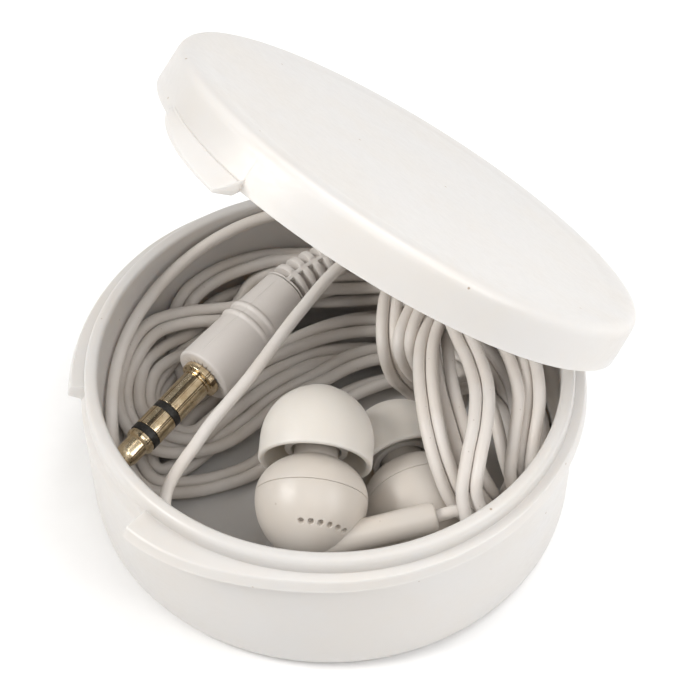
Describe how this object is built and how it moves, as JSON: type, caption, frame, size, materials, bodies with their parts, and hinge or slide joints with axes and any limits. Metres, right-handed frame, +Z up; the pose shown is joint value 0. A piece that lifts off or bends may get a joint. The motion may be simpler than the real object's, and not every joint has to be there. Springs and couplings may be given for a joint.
{
  "type": "wired earphones in a round case",
  "caption": "Wired in-ear earphones with a 3.5 mm plug, the cord wound up inside a small round plastic case whose hinged lid stands open.",
  "frame": {"origin": "centre of the case's flat bottom, which stands on the table", "axes": "+Z up; the case's round body turns about Z; the lid's hinge lies towards +X and +Y, 39 degrees from +X"},
  "size_m": [0.061, 0.0603, 0.0592],
  "materials": {
    "case_plastic": "white moulded polypropylene, satin",
    "hinge_plastic": "thin flexing white polypropylene, satin",
    "gold_contact": "pale gold plating, slightly pitted",
    "insulator": "black, smooth",
    "steel": "plain steel",
    "grip_plastic": "soft moulded off-white, satin",
    "housing_plastic": "warm white, glossy",
    "silicone": "ivory silicone, soft sheen",
    "film": "thin formed film",
    "mesh_cloth": "fine dark mesh",
    "cord_jacket": "soft beige-white PVC, satin"
  },
  "bodies": {
    "case": {"case_base": "case_plastic", "hinge_strap": "hinge_plastic", "plug_tip_contact": "gold_contact", "plug_tip_insulator": "insulator", "plug_ring_contact": "gold_contact", "plug_ring_insulator": "insulator", "plug_centre_post": "steel", "plug_sleeve_contact": "gold_contact", "plug_grip": "grip_plastic", "plug_strain_relief": "grip_plastic", "right_rear_housing": "housing_plastic", "right_front_shell": "housing_plastic", "right_driver_frame": "steel", "right_driver_magnet": "steel", "right_driver_diaphragm": "film", "right_nozzle_mesh": "mesh_cloth", "right_stem": "housing_plastic", "left_rear_housing": "housing_plastic", "left_front_shell": "housing_plastic", "left_driver_frame": "steel", "left_driver_magnet": "steel", "left_driver_diaphragm": "film", "left_nozzle_mesh": "mesh_cloth", "left_stem": "housing_plastic", "lead_winding_left": "cord_jacket", "lead_winding_back": "cord_jacket", "lead_winding_right": "cord_jacket", "lead_winding_turn": "cord_jacket", "plug_lead": "cord_jacket", "right_lead": "cord_jacket", "left_lead": "cord_jacket"},
    "lid": {"case_lid": "case_plastic"},
    "right_tip": {"right_ear_tip": "silicone"},
    "left_tip": {"left_ear_tip": "silicone"}
  },
  "joints": [
    {"name": "lid_hinge", "type": "hinge", "parent": "case", "child": "lid", "pos_m": [0.02285, 0.0185, 0.0169], "axis": [-0.6293, 0.7771, 0], "range_deg": [-42, 100], "deforming": ["hinge_strap"]},
    {"name": "right_tip_pull", "type": "slide", "parent": "case", "child": "right_tip", "axis": [0.1, 0.9539, 0.283], "range_m": [0, 0.0035]},
    {"name": "left_tip_pull", "type": "slide", "parent": "case", "child": "left_tip", "axis": [-0.2602, 0.9656, 0], "range_m": [0, 0.0015]}
  ]
}
